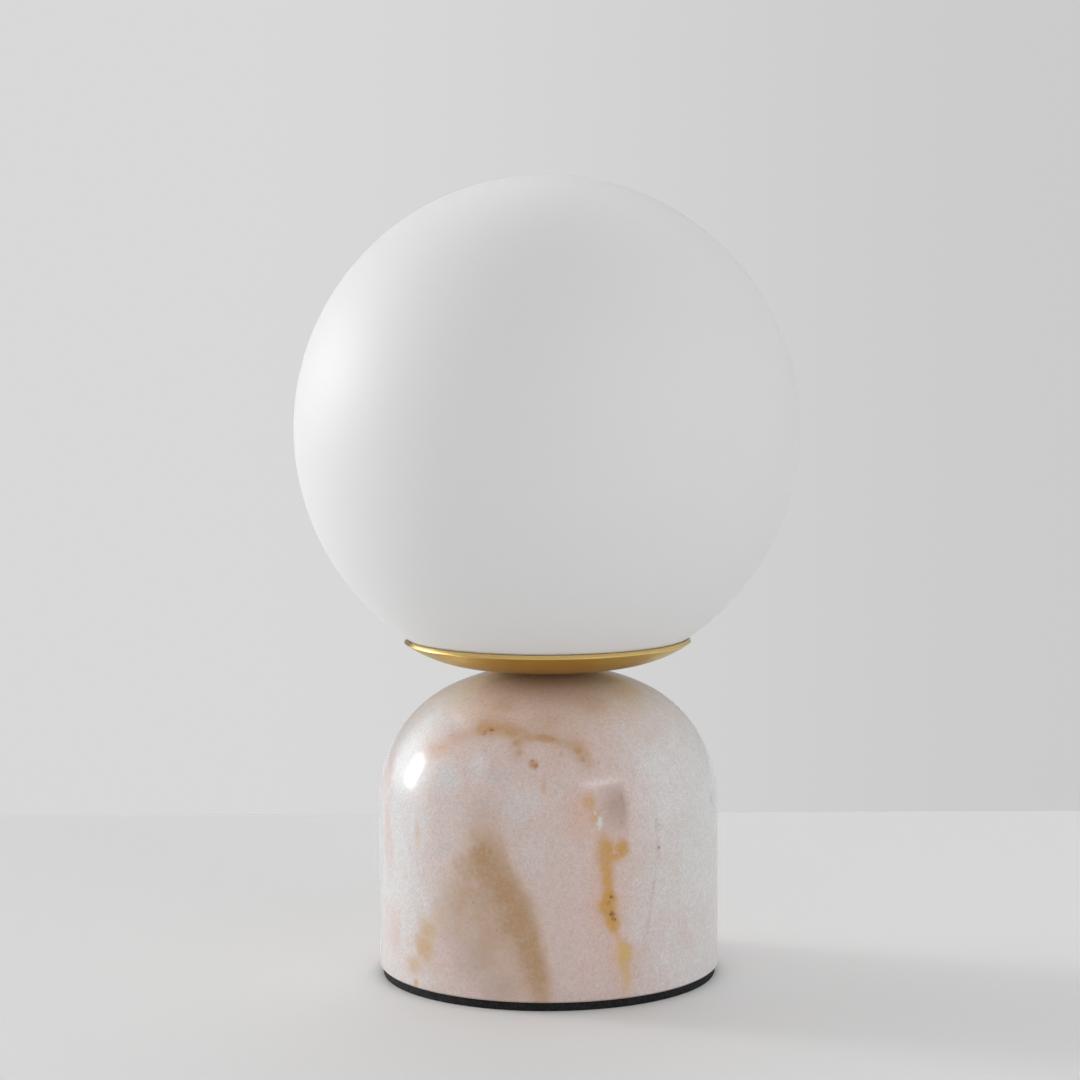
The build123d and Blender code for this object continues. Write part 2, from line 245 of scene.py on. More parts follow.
def makeCamera(settings):
    camera = bpy.data.cameras.new("photoCamera")
    camera.lens = settings["lens"]
    camera.sensor_width = settings["sensor"]
    camera.clip_start = settings["nearest"]
    holder = bpy.data.objects.new("photoCamera", camera)
    bpy.context.collection.objects.link(holder)
    turn = Matrix.Rotation(math.radians(settings["turnLeft"]), 4, "Z")
    tilt = Matrix.Rotation(math.radians(90 - settings["tiltDown"]), 4, "X")
    roll = Matrix.Rotation(math.radians(settings["roll"]), 4, "Z")
    holder.matrix_world = Matrix.Translation(settings["place"]) @ turn @ tilt @ roll
    bpy.context.scene.camera = holder


def makeFloor(settings):
    bpy.ops.mesh.primitive_plane_add(size=settings["size"])
    floor = bpy.context.object
    floor.name = "studioFloor"
    paint = Finish("floorPaint")
    rays = [paint.add("ShaderNodeLightPath", out=ray) for ray in ("Is Camera Ray", "Is Glossy Ray")]
    looking = paint.highest(rays)
    colour = paint.mix(looking, (*[settings["lighting"]] * 3, 1), (*[settings["seen"]] * 3, 1))
    floor.data.materials.append(paint.use(Base_Color=colour, Roughness=settings["roughness"]))


def makeBackdrop(settings):
    # A wall that only the camera sees, pale on the left and a little darker on the right: the darkening to
    # the right is painted shade, the fall of the light from the left across the wall.
    # Polished surfaces mirror the sky instead, which is as pale and has the window in it.
    bpy.ops.mesh.primitive_plane_add(size=1, location=(0, settings["behind"], settings["height"] / 2))
    wall = bpy.context.object
    wall.name = "studioWall"
    wall.rotation_euler = (math.radians(90), 0, 0)
    wall.scale = (settings["width"], settings["height"], 1)
    bpy.ops.object.transform_apply(location=True, rotation=True, scale=True)
    paint = Finish("wallPaint", Roughness=1.0)
    across, _, _ = paint.parts(paint.place())
    # Painted shade: the glow's tone falls from left to right, as the light from the left falls off across
    # the wall.
    span = paint.rise(across, settings["fadeFrom"], settings["fadeTo"])
    tone = settings["leftTone"] + span * (settings["rightTone"] - settings["leftTone"])
    glow = paint.add("ShaderNodeEmission", None, {"Color": paint.grey(tone), "Strength": 1.0})
    clear = paint.add("ShaderNodeBsdfTransparent")
    behind = paint.add("ShaderNodeNewGeometry", out="Backfacing")
    shown = paint.add("ShaderNodeMixShader", None, {0: behind, 1: glow, 2: clear})
    paint.links.new(shown.socket, paint.output.inputs["Surface"])
    paint.nodes.remove(paint.shader)
    wall.data.materials.append(paint.material)
    wall.visible_diffuse = False
    wall.visible_glossy = False
    wall.visible_shadow = False


def makeSky(settings):
    world = bpy.data.worlds.new("studioSky")
    bpy.context.scene.world = world
    world.use_nodes = True
    sky = NodeWork(world.node_tree)
    direction = sky.add("ShaderNodeTexCoord", out="Generated")
    right, back, up = sky.parts(direction)
    azimuth = sky.maths("DEGREES", sky.maths("ARCTAN2", right, -1 * back))
    elevation = sky.maths("DEGREES", sky.maths("ARCSINE", up))

    def panel(light):
        # A soft-edged rectangle of light in the sky.
        aside = sky.maths("ABSOLUTE", azimuth - light["azimuth"])
        above = sky.maths("ABSOLUTE", elevation - light["elevation"])
        wide = sky.fall(aside, light["halfWidth"] - light["edge"], light["halfWidth"] + light["edge"])
        tall = sky.fall(above, light["halfHeight"] - light["edge"], light["halfHeight"] + light["edge"])
        return wide * tall * light["power"]

    bounce = settings["bounce"]
    lean = math.radians(bounce["elevation"])
    towards = sky.vector("DOT_PRODUCT", direction, (0, math.cos(lean), math.sin(lean)), out="Value")
    ceiling = sky.rise(towards, math.cos(math.radians(bounce["reach"])), 1.0) * bounce["power"]
    level = settings["level"] + right * settings["toRight"] - back * settings["toFront"]
    level = level + ceiling + panel(settings["window"]) + panel(settings["glow"]) + panel(settings["strip"])
    lit = sky.add("ShaderNodeBackground", None, {"Color": (1, 1, 1, 1), "Strength": level})
    seen = sky.add("ShaderNodeBackground", None, {"Color": (1, 1, 1, 1), "Strength": settings["seen"]})
    cameraRay = sky.add("ShaderNodeLightPath", out="Is Camera Ray")
    mixed = sky.add("ShaderNodeMixShader", None, {0: cameraRay, 1: lit, 2: seen})
    sky.add("ShaderNodeOutputWorld", None, {"Surface": mixed})


bpy.context.scene.view_settings.view_transform = "Standard"
makeCamera(cameraSet)
makeFloor(floorSet)
makeBackdrop(backdropSet)
makeSky(skySet)
print("stage: camera, floor, backdrop and light are in place")


def deselect():
    bpy.ops.object.select_all(action="DESELECT")


def arc(centre, radius, fromAngle, toAngle, steps):
    # Points of an arc as (radius, height), both ends included; angles in degrees from level.
    points = []
    for step in range(steps + 1):
        angle = math.radians(fromAngle + (toAngle - fromAngle) * step / steps)
        points.append((centre[0] + radius * math.cos(angle), centre[1] + radius * math.sin(angle)))
    return points


def line(start, end, steps):
    return [tuple(a + (b - a) * step / steps for a, b in zip(start, end)) for step in range(steps + 1)]


def turnPiece(name, outline, steps):
    # Draws the outline by extruding one point from corner to corner, then spins it about the lamp's axis.
    deselect()
    start = outline[0]
    bpy.ops.mesh.primitive_plane_add(size=mm, location=(0, 0, 0))
    piece = bpy.context.object
    piece.name = name
    bpy.ops.object.mode_set(mode="EDIT")
    bpy.ops.mesh.select_all(action="SELECT")
    bpy.ops.mesh.merge(type="CENTER")
    bpy.ops.transform.translate(value=(start[0], 0, start[1]))
    here = start
    for point in outline[1:]:
        step = (point[0] - here[0], 0, point[1] - here[1])
        if math.hypot(step[0], step[2]) < weld:
            continue
        bpy.ops.mesh.extrude_region_move(TRANSFORM_OT_translate={"value": step})
        here = point
    bpy.ops.mesh.select_all(action="SELECT")
    bpy.ops.mesh.spin(steps=steps, angle=2 * math.pi, center=(0, 0, 0), axis=(0, 0, 1))
    bpy.ops.mesh.select_all(action="SELECT")
    bpy.ops.mesh.remove_doubles(threshold=weld)
    bpy.ops.mesh.select_all(action="SELECT")
    bpy.ops.mesh.normals_make_consistent(inside=False)
    bpy.ops.object.mode_set(mode="OBJECT")
    return piece


def only(piece):
    deselect()
    piece.select_set(True)
    bpy.context.view_layer.objects.active = piece


def applyModifier(piece, kind, **settings):
    only(piece)
    added = piece.modifiers.new(kind.lower(), kind)
    for key, value in settings.items():
        setattr(added, key, value)
    bpy.ops.object.modifier_apply(modifier=added.name)


def softenEdges(piece, width, segments, angle):
    # Rounds the edges that turn by more than the angle.
    limit = math.radians(angle)
    applyModifier(piece, "BEVEL", width=width, segments=segments, limit_method="ANGLE", angle_limit=limit)


def smooth(piece, angle=32):
    only(piece)
    bpy.ops.object.shade_smooth_by_angle(angle=math.radians(angle))


def install(piece, body, slotName, material, *replaced):
    if not piece.data.materials:
        piece.data.materials.append(material)
    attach(piece, body)
    if replaced:
        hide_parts(*replaced)
    return piece


copyShape = {
    "flat": 0.3,                # facets that lie within this many degrees become one face
    "segments": 2,
    "sharp": 40,                # edges that turn by more are softened
    "smoothUpTo": 35,
}


def copyOfNode(node, name, bevel):
    # A merged copy of a CAD solid, its facets joined and its edges softened.
    source = frame["nodes"][node]
    piece = bpy.data.objects.new(name, source.data.copy())
    bpy.context.collection.objects.link(piece)
    piece.data.materials.clear()
    only(piece)
    bpy.ops.object.mode_set(mode="EDIT")
    bpy.ops.mesh.select_all(action="SELECT")
    bpy.ops.mesh.remove_doubles(threshold=cadWeld)
    bpy.ops.mesh.dissolve_limited(angle_limit=math.radians(copyShape["flat"]))
    bpy.ops.object.mode_set(mode="OBJECT")
    if bevel:
        softenEdges(piece, bevel, copyShape["segments"], copyShape["sharp"])
    smooth(piece, copyShape["smoothUpTo"])
    return piece


def cutWith(piece, cutter):
    applyModifier(piece, "BOOLEAN", operation="DIFFERENCE", solver="EXACT", object=cutter)
    bpy.data.objects.remove(cutter, do_unlink=True)


_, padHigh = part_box("foot_pad")
stoneLow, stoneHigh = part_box("marble_base")
dishLow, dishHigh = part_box("brass_dish")
glassLow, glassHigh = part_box("glass_globe")
grommetLow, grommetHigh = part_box("cord_grommet")


stoneSet = {
    "shoulder": 50.0 * mm,
    "crown": 94.5 * mm,
    "seat": 14.4 * mm,          # flat under the dish's gasket
    "stemHole": 5.6 * mm,
    "cavity": 30.0 * mm,
    "cavityHeight": 26.0 * mm,
    "footBevel": 0.7 * mm,
    "cableHole": 6.25 * mm,
    "spotface": 9.05 * mm,
    "spotfaceDepth": 2.0 * mm,
    "cutPast": 1.2,             # how far the hole's cutter runs out of the side, in radii
    "holeSides": 64,
    "sideSteps": 24,
    "shoulderSteps": 44,
    "crownSteps": 16,
    "steps": 240,
}


def makeStone():
    # Straight drum, round shoulder and a flatter crown, tangent to each other, hollow under the middle.
    radius, bottom, bevel = stoneHigh.x, stoneLow.z, stoneSet["footBevel"]
    crownZ = stoneHigh.z - math.sqrt(stoneSet["crown"] ** 2 - stoneSet["seat"] ** 2)
    inset = radius - stoneSet["shoulder"]
    shoulderZ = crownZ + math.sqrt((stoneSet["crown"] - stoneSet["shoulder"]) ** 2 - inset ** 2)
    join = math.degrees(math.atan2(shoulderZ - crownZ, inset))
    seatAngle = math.degrees(math.acos(stoneSet["seat"] / stoneSet["crown"]))
    hole, cavity, cavityTop = stoneSet["stemHole"], stoneSet["cavity"], bottom + stoneSet["cavityHeight"]
    outline = [(hole, cavityTop), (cavity, cavityTop), (cavity, bottom)]
    outline += line((radius - bevel, bottom), (radius, bottom + bevel), 1)
    outline += line((radius, bottom + bevel), (radius, shoulderZ), stoneSet["sideSteps"])[1:]
    outline += arc((inset, shoulderZ), stoneSet["shoulder"], 0, join, stoneSet["shoulderSteps"])[1:]
    outline += arc((0, crownZ), stoneSet["crown"], join, seatAngle, stoneSet["crownSteps"])[1:]
    outline += [(hole, stoneHigh.z), (hole, cavityTop)]
    stone = turnPiece("marbleDrum", outline, stoneSet["steps"])
    holeZ = (grommetLow.z + grommetHigh.z) / 2
    spotfaceStart = radius - stoneSet["spotfaceDepth"]
    for holeRadius, start in ((stoneSet["cableHole"], 0.0), (stoneSet["spotface"], spotfaceStart)):
        length = radius * stoneSet["cutPast"] - start
        deselect()
        bpy.ops.mesh.primitive_cylinder_add(
            vertices=stoneSet["holeSides"], radius=holeRadius, depth=length,
            location=(0, start + length / 2, holeZ), rotation=(math.radians(90), 0, 0),
        )
        cutWith(stone, bpy.context.object)
    smooth(stone)
    return stone


# The marble's pattern is laid out unrolled: angles from the front in degrees, positive to the right,
# heights in mm. A streak is a run of (along it, where its middle is, half width in mm, strength),
# and a patch is (angle, height, half width in mm, half height in mm, strength).
streakSet = {
    "goldMass": [
        (80, -23, 6, 0.0), (73, -23, 9, 0.3), (66, -22.5, 11.5, 0.5), (60, -22.5, 13.5, 0.62),
        (54, -23, 16.5, 0.66), (47, -22.5, 19, 0.66), (40, -21, 21, 0.64), (33, -19.5, 21, 0.58),
        (26, -18, 20, 0.48), (18, -15, 17.5, 0.4), (10, -12, 15, 0.32), (3, -10, 14, 0.28),
    ],
    "goldRidge": [
        (72, -22, 4.0, 0.0), (66, -21, 5.0, 0.35), (60, -19.5, 6.0, 0.65), (54, -17.5, 6.5, 0.75),
        (47, -14.5, 6.5, 0.75), (40, -10.8, 6.5, 0.8), (33, -8.0, 6.0, 0.8), (26, -6.0, 5.8, 0.78),
        (18, -4.0, 5.8, 0.74), (10, -2.2, 5.5, 0.66), (3, -1.4, 5.0, 0.5),
    ],
    "ochreVein": [
        (71, 16.8, 2.0, 0.0), (66, 18.0, 3.6, 0.6), (61, 18.8, 4.2, 0.85), (56, 18.8, 3.6, 0.8),
        (51, 19.0, 3.0, 0.85), (46, 19.4, 2.8, 0.85), (43, 19.8, 3.4, 1.0), (40, 19.0, 4.2, 1.0),
        (36, 20.2, 3.8, 1.0), (32, 20.9, 3.2, 0.9), (29, 21.6, 2.4, 0.6), (26.5, 23.2, 2.4, 0.55),
        (23, 24.8, 3.6, 0.9), (19.5, 25.0, 3.6, 0.9), (16, 25.2, 2.8, 0.7), (12, 25.8, 2.8, 0.6),
        (8, 25.6, 2.4, 0.5), (3, 25.4, 2.0, 0.3),
    ],
    "crack": [
        (72, 37.6, 0.9, 0.0), (69, 37.4, 1.0, 0.8), (64, 38, 0.8, 0.3), (60, 38.2, 1.1, 0.8),
        (53, 37.4, 0.9, 0.35), (46, 35.8, 1.1, 0.7), (37, 34.8, 1.0, 0.6), (30, 33.6, 1.0, 0.6),
        (22, 32.6, 0.9, 0.3), (14, 32.2, 0.8, 0.0),
    ],
    "rustArc": [
        (-58, 95, 2.6, 0.0), (-50, 97.5, 3.0, 0.1), (-42, 100.5, 2.6, 0.25), (-37, 103, 2.4, 0.4),
        (-32, 104.6, 2.6, 0.6), (-27, 105.3, 2.6, 0.78), (-20, 105.3, 2.4, 0.74), (-14, 104.4, 2.2, 0.74),
        (-7, 103.6, 1.8, 0.8), (0, 103, 1.6, 0.85), (4, 102.2, 1.6, 0.75), (8, 100, 2.4, 0.6),
        (12, 97.4, 3.6, 0.8), (15.5, 94.8, 2.6, 0.6), (19, 92, 1.4, 0.0),
    ],
}
# How white the stone is round the drum: (angle, share), and how much of that is left up its height.
whiteRound = [
    (-90, 0.75), (-62, 0.85), (-49, 0.7), (-38, 0.36), (-24, 0.2), (-4, 0.05), (12, 0.02), (25, 0.25),
    (36, 0.55), (50, 0.75), (70, 0.85), (90, 0.8),
]
whiteUp = [(0, 0.75), (20, 0.7), (45, 0.9), (85, 1.0), (104, 0.7), (119, 0.55)]
patchSet = {
    "white": [
        (-36, 86, 12, 10, 0.6), (-26, 93, 8, 7, 0.6), (-46, 52, 6, 20, 0.6), (42, 92, 18, 18, 0.5),
        # The white patches at (-60, 106) and (-46, 104), on the crown's left, are partly the stone's white
        # and partly painted light, lightening the shoulder where the light from the left falls.
        (-9, 80, 12, 8, 0.45), (-3, 62, 7, 12, 0.35), (30, 30, 7, 18, 0.35), (-60, 106, 14, 8, 0.9),
        (-46, 104, 6, 4, 0.5),
    ],
    "pink": [
        (-68, 62, 7, 26, 0.9), (-62, 22, 9, 17, 0.9), (8, 36, 9, 20, 0.7), (-46, 96, 9, 5, 0.9),
        (-18, 22, 13, 9, 0.9), (-34, 22, 8, 14, 0.9), (10, 78, 9, 12, 0.8), (13, 18, 9, 12, 0.8),
        (3, 92, 10, 7, 0.6), (-74, 84, 9, 14, 0.8), (-8, 8, 14, 6, 0.6), (32, 74, 6, 16, 0.4),
        (50, 26, 8, 14, 0.5),
    ],
    "grey": [
        (71, 74, 2.2, 5, 1.0), (-16, 88, 9, 5, 0.6), (-38, 62, 7, 9, 0.6), (33, 52, 5, 20, 0.4),
        (-38, 84, 11, 11, 0.7), (-11, 77, 8, 9, 0.45),
    ],
    "umber": [
        (-30, 36, 12, 18, 0.7), (-24, 22, 13, 14, 0.85), (-16, 10, 12, 9, 0.8), (-14, 28, 9, 18, 0.5),
        (-22, 74, 8, 10, 0.3),
    ],
    "sideStain": [
        (-43, 27.5, 8.0, 7.0, 0.75), (-45.5, 20.5, 8.0, 8.0, 0.9), (-50, 13, 7.0, 6.0, 0.6),
        (-49.5, 5.5, 2.2, 2.2, 1.0), (-48, 65, 3.0, 8, 0.45), (-38, 33, 6, 9, 0.4), (-40, 14, 8, 6, 0.3),
    ],
    "tan": [
        (-24, 113, 10, 3.4, 0.8), (-22, 107.5, 16, 3.6, 0.75), (0, 107, 14, 5, 0.6),
        (24, 113, 11, 3.4, 0.5), (8, 102.5, 9, 4, 0.6), (-12, 99, 5, 5, 0.55),
    ],
    "peach": [
        (-44, 97.5, 11, 4, 1.0), (-38, 101, 7, 3, 0.8), (13, 99, 6, 5, 0.9), (2, 101, 5, 3, 0.8),
        (11, 74, 9, 12, 0.9), (2, 96, 8, 6, 0.6), (13.7, 78, 3.4, 6.5, 0.9), (16, 42, 6, 22, 0.5),
        (22, 20, 6, 12, 0.55), (-10, 99, 5, 4.5, 0.7), (-46, 98, 8, 3.6, 0.85), (-2, 84, 3, 8, 0.45),
    ],
    "rustSpot": [
        (-12, 101.5, 4.0, 2.6, 0.8), (-10.8, 98, 2.2, 2.6, 0.7), (13, 97, 4.6, 2.6, 0.7),
        (-22, 106.5, 7.0, 2.4, 0.4), (4.8, 97.6, 1.2, 1.4, 0.6), (-1.5, 86, 1.6, 5.0, 0.5),
        (-5, 94, 3.2, 2.8, 0.85),
    ],
    "redSpot": [
        (-4.4, 93.2, 1.7, 1.5, 0.9), (-5.8, 95, 1.5, 1.3, 0.8), (-24, 105.2, 3.0, 1.1, 0.9),
        (-26.5, 104.2, 1.6, 0.8, 0.8), (-41, 102, 2.4, 0.8, 0.4), (12.5, 95.2, 2.2, 1.4, 0.5),
        (-44, 97.5, 4.0, 1.4, 0.35),
    ],
    "brownSpot": [
        (-4.4, 93.4, 0.8, 0.8, 0.3), (-24, 105, 1.3, 0.6, 0.8), (-21.6, 105.6, 0.9, 0.5, 0.5),
        (2, 102.6, 1.2, 0.6, 0.5), (20.4, 43.4, 1.4, 1.2, 0.85), (19.4, 41, 1.8, 1.2, 0.45),
        (20.6, 36.8, 1.8, 1.8, 0.95), (21.4, 34.6, 1.2, 1.2, 0.85), (24.5, 81, 1.6, 4.5, 0.3),
        (24, 72, 1.2, 2.0, 0.35),
    ],
    # Painted highlight: a small white glint beside the vein, drawn in as colour.
    "paintedGlintSpot": [(16.6, 72.5, 1.9, 3.4, 1.0), (15.2, 76, 1.0, 1.6, 0.5)],
    "speck": [
        (64, 110, 0.5, 0.4, 0.8), (-25, 41, 0.5, 0.5, 0.8), (-17, 31, 0.45, 0.45, 0.7),
        (23, 115, 0.7, 0.35, 0.7), (18, 94, 0.5, 0.5, 0.8), (38.4, 60.2, 0.8, 0.8, 0.9),
        (38.4, 69, 0.4, 0.8, 0.5), (29, 39, 0.4, 0.4, 0.6),
    ],
    "ochreSpot": [
        (24, 61.3, 4.6, 5.2, 1.0), (21.8, 58.6, 4.6, 3.0, 0.85), (20.4, 62.5, 3.4, 4.0, 0.6),
        (13.4, 80, 4.2, 5.6, 0.6), (15.4, 74.5, 3.6, 5.0, 0.55), (19.0, 40.5, 4.0, 2.8, 0.7),
        (9.5, 80, 1.0, 2.0, 0.3),
    ],
}
marbleSet = {
    "pale": srgb(229, 207, 200),
    "white": srgb(235, 236, 236),
    "pink": srgb(232, 203, 198),
    "grey": srgb(207, 210, 212),
    "gold": srgb(191, 148, 95),
    "umber": srgb(202, 176, 160),
    "ochre": srgb(216, 162, 76),
    "straw": srgb(228, 187, 112),
    "sand": srgb(220, 180, 128),
    "rust": srgb(204, 158, 108),
    "red": srgb(192, 128, 76),
    "peach": srgb(230, 188, 164),
    "brown": srgb(142, 82, 42),
    "tan": srgb(216, 186, 164),
    "haze": srgb(190, 158, 144),
    "crownPaintedLight": 0.12,          # painted light: the stone is made lighter towards its top, standing in for the light that falls on the crown
    "drift": 20 * mm,           # how far the broad noise pushes the pattern
    "shiver": 2.4 * mm,
    "ragged": (0.55, 0.75),     # fine and grain noise on the edges of soft stains
    "stippled": (1.7, 2.6),     # the same in the grains of strong ones
    "hazeAcross": (14.0, 22.0, 24.0, 27.5),     # degrees: in over the first two, out over the last two
    "hazeUp": (60.0, 80.0, 79.0, 89.0),         # the same up the side, in mm
    "strawFrom": (24.0, 31.0),  # the vein turns from straw to ochre between these heights
    "veinHalf": (0.001, 0.02),  # half widths of the back's veins, in levels of their noise
    "blushHalf": 0.045,
    "poolEdge": (0.54, 0.68),   # the back's stains lie where their noise is above these
    "front": 14 * mm,           # the back's pattern fades in from here before the axis to here behind it
    "crystal": 1.3 * mm,
    "rippleDepth": 0.02 * mm,
    "roughness": 0.13,
    "waxDepth": 1.5 * mm,
}
# Noises in the stone: the size of one blotch in mm, detail and roughness.
noiseSet = {
    "drift": (17, 4, 0.6),
    "shiver": (3.2, 3, 0.6),
    "broad": (40, 4, 0.55),
    "medium": (9, 4, 0.6),
    "fine": (1.6, 3, 0.65),
    "grain": (0.7, 2, 0.65),
    "sheet": (88, 1, 0.4),
    "pool": (70, 2, 0.5),
    "ripple": (6, 2, 0.5),
}
# How far each colour hides the stone beneath it.
coverSet = {
    "white": 0.95,
    "pink": 0.75,
    "grey": 0.7,
    "gold": 0.95,
    "sideStain": 0.85,
    "rust": 0.95,
    "rustHalo": 0.7,
    "ochre": 0.95,
    "ochreHalo": 0.45,
    "spot": 0.85,
    "crack": 0.6,
    "backStain": 0.85,
    "backBlush": 0.5,
    "backVein": 0.9,
}


class Marble(Finish):
    # Adds what lies on the unrolled drum. Places on it are in mm, a degree as wide as at the drum's side.
    degreeWide = math.radians(1) * stoneHigh.x / mm

    def stir(self, place, name, out="Fac"):
        size, detail, roughness = noiseSet[name]
        return self.noise(place, size * mm, detail, roughness, out)

    def pushed(self, place, name, reach):
        # How far a noise moves each place.
        middle = (0.5, 0.5, 0.5)
        return self.scaled(self.vector("SUBTRACT", self.stir(place, name, "Color"), middle), reach)

    def moved(self, place, *steps):
        for step in steps:
            place = self.vector("ADD", place, step)
        return place

    def unrolled(self, place):
        x, y, z = self.parts(place)
        around = self.maths("ARCTAN2", x, -1 * y) * (stoneHigh.x / mm)
        return self.joined(around, z * (1 / mm), 0.0)

    def curve(self, along, points):
        # A smooth line through (along, value) points, level past its ends.
        starts, values = zip(*points)
        first, span = min(starts), max(starts) - min(starts)
        low, reach = min(values), max(values) - min(values)
        places = [((start - first) / span, (value - low) / reach) for start, value in points]
        drawn = self.add("ShaderNodeFloatCurve", {"curve": places}, {"Value": (along - first) * (1 / span)})
        return drawn * reach + low

    def streak(self, along, across, run, unit=1.0):
        # How far off the streak's middle, in half widths, and the streak's strength.
        middle = self.curve(along, [(row[0], row[1] * unit) for row in run])
        width = self.curve(along, [(row[0], row[2]) for row in run])
        return (across - middle) / width, self.curve(along, [(row[0], row[3]) for row in run])

    def patches(self, flat, spots, softness=0.9):
        # 1 in the middle of a spot, 0 outside it, times its strength.
        levels = []
        for angle, height, wide, tall, strength in spots:
            offset = self.vector("SUBTRACT", flat, (angle * self.degreeWide, height, 0))
            reach = self.vector("LENGTH", self.vector("DIVIDE", offset, (wide, tall, 1)), out="Value")
            levels.append(self.fall(reach, 1 - softness, 1 + softness * 0.35) * strength)
        return self.highest(levels)


def marbleFinish(settings):
    stone = Marble("veinedMarble")
    place = stone.place()
    drift = stone.pushed(place, "drift", settings["drift"])
    shiver = stone.pushed(place, "shiver", settings["shiver"])
    flat = stone.unrolled(place)
    loose = stone.unrolled(stone.moved(place, drift))
    easy = stone.unrolled(stone.moved(place, stone.scaled(drift, 0.3), shiver))
    bent = stone.unrolled(stone.moved(place, shiver))
    broad, medium, fine, grain = [stone.stir(place, name) for name in ("broad", "medium", "fine", "grain")]
    tooth, stipple = [
        (fine - 0.5) * fineShare + (grain - 0.5) * grainShare
        for fineShare, grainShare in (settings["ragged"], settings["stippled"])
    ]
    colour = settings["pale"]

    # Ground: warm pale stone, clouded with white, pink and cool grey.
    aroundLoose, heightLoose, _ = stone.parts(loose)
    spread = stone.curve(aroundLoose * (1 / stone.degreeWide), whiteRound)
    spread = spread * stone.curve(heightLoose, whiteUp)
    wander = (medium - 0.5) * 0.8 + (broad - 0.5) * 0.7 + tooth * 0.25
    cloud = stone.highest([spread, stone.patches(loose, patchSet["white"], 1.0)]) + wander * 0.8
    colour = stone.mix(stone.rise(cloud, 0.0, 1.0) * coverSet["white"], colour, settings["white"])
    for tint in ("pink", "grey"):
        cloud = stone.patches(loose, patchSet[tint], 1.0) * (0.85 + wander) + wander * 0.4
        colour = stone.mix(stone.rise(cloud, 0.1, 0.95) * coverSet[tint], colour, settings[tint])
    tanned = stone.patches(easy, patchSet["tan"]) * (0.85 + tooth)
    colour = stone.mix(stone.clamped(tanned), colour, settings["tan"])
    blush = stone.patches(easy, patchSet["peach"], 1.0) * (0.62 + tooth * 0.8)
    colour = stone.mix(stone.clamped(blush), colour, settings["peach"])

    # Brownish haze, crisper along its top and right sides.
    across, height, _ = stone.parts(easy)
    degree = stone.degreeWide
    haze = stone.between(across, [edge * degree for edge in settings["hazeAcross"]])
    haze = haze * stone.between(height, settings["hazeUp"])
    colour = stone.mix(stone.clamped(haze * (0.8 + tooth * 1.2)), colour, settings["haze"])

    # Gold stain: a wide faint mass with a denser ridge down its right side, all of it broken into grains.
    shadow = stone.patches(easy, patchSet["umber"], 1.0) * (0.9 + (medium - 0.5) * 0.9)
    colour = stone.mix(stone.clamped(shadow * (0.85 + stipple * 0.5)), colour, settings["umber"])
    aside, strength = stone.streak(height, across, streakSet["goldMass"], degree)
    mass = stone.rise(aside + (medium - 0.5) * 1.3, -1.4, 0.1) * stone.fall(aside, 0.7, 1.2) * strength
    aside, strength = stone.streak(height, across, streakSet["goldRidge"], degree)
    ridge = stone.rise(aside, -1.9, -0.2) * stone.fall(aside + (medium - 0.5) * 0.8, -0.1, 1.75) * strength
    density = (mass + ridge - mass * ridge) * (0.92 + (medium - 0.5) * 0.6)
    speckled = stone.rise(density * (1 + stipple * 0.55), 0.0, 1.1)
    hue = stone.mix(stone.rise(density, 0.15, 0.75), settings["sand"], settings["gold"])
    colour = stone.mix(speckled * coverSet["gold"], colour, hue)
    side = stone.patches(easy, patchSet["sideStain"], 1.0) * (1 + stipple * 0.9)
    colour = stone.mix(stone.rise(side, 0.0, 1.0) * coverSet["sideStain"], colour, settings["sand"])

    # Rust arc under the crown, blotchy, with brown where it is strongest.
    along, heightBent, _ = stone.parts(bent)
    aside, strength = stone.streak(along * (1 / degree), heightBent, streakSet["rustArc"])
    away = stone.maths("ABSOLUTE", aside)
    halo = stone.fall(away, 0.2, 2.8) * strength * coverSet["rustHalo"]
    colour = stone.mix(stone.clamped(halo * (1 + tooth)), colour, settings["tan"])
    rust = stone.fall(away, 0.0, 2.1) * strength * (0.6 + stone.rise(medium, 0.3, 0.6) * 0.5)
    rust = stone.highest([rust, stone.patches(bent, patchSet["rustSpot"], 1.0)])
    rust = stone.rise(rust * (1 + stipple * 0.75), 0.1, 1.1) * coverSet["rust"]
    colour = stone.mix(rust, colour, settings["rust"])

    # Ochre vein: lobes and blobs down the front, straw-coloured towards the foot.
    aside, strength = stone.streak(heightBent, along, streakSet["ochreVein"], degree)
    away = stone.maths("ABSOLUTE", aside)
    halo = stone.fall(away, 0.3, 3.0) * strength * coverSet["ochreHalo"]
    colour = stone.mix(halo, colour, settings["peach"])
    ochre = stone.fall(away, 0.0, 1.8) * strength * (1 + (medium - 0.5) * 0.8)
    ochre = stone.highest([ochre, stone.patches(bent, patchSet["ochreSpot"], 0.9)])
    hue = stone.mix(stone.fall(heightBent, *settings["strawFrom"]), settings["ochre"], settings["straw"])
    ochre = stone.rise(ochre * (1 + stipple * 0.75), 0.08, 1.05) * coverSet["ochre"]
    colour = stone.mix(ochre, colour, hue)
    # The red and brown spots are stains; the white one is a painted highlight, a glint drawn in as colour.
    for spots, tint in (("redSpot", "red"), ("brownSpot", "brown"), ("paintedGlintSpot", "white")):
        spot = stone.rise(stone.patches(bent, patchSet[spots], 1.0) * (1 + stipple * 0.8), 0.1, 0.95)
        colour = stone.mix(spot * coverSet["spot"], colour, settings[tint])

    # Hairline crack and a few dark specks.
    aside, strength = stone.streak(heightBent, along, streakSet["crack"], degree)
    crack = stone.fall(stone.maths("ABSOLUTE", aside), 0.0, 1.8) * strength
    crack = crack * stone.rise(fine, 0.36, 0.62) * 0.6
    crack = stone.highest([crack, stone.patches(flat, patchSet["speck"], 0.7)])
    colour = stone.mix(stone.clamped(crack) * coverSet["crack"], colour, settings["brown"])

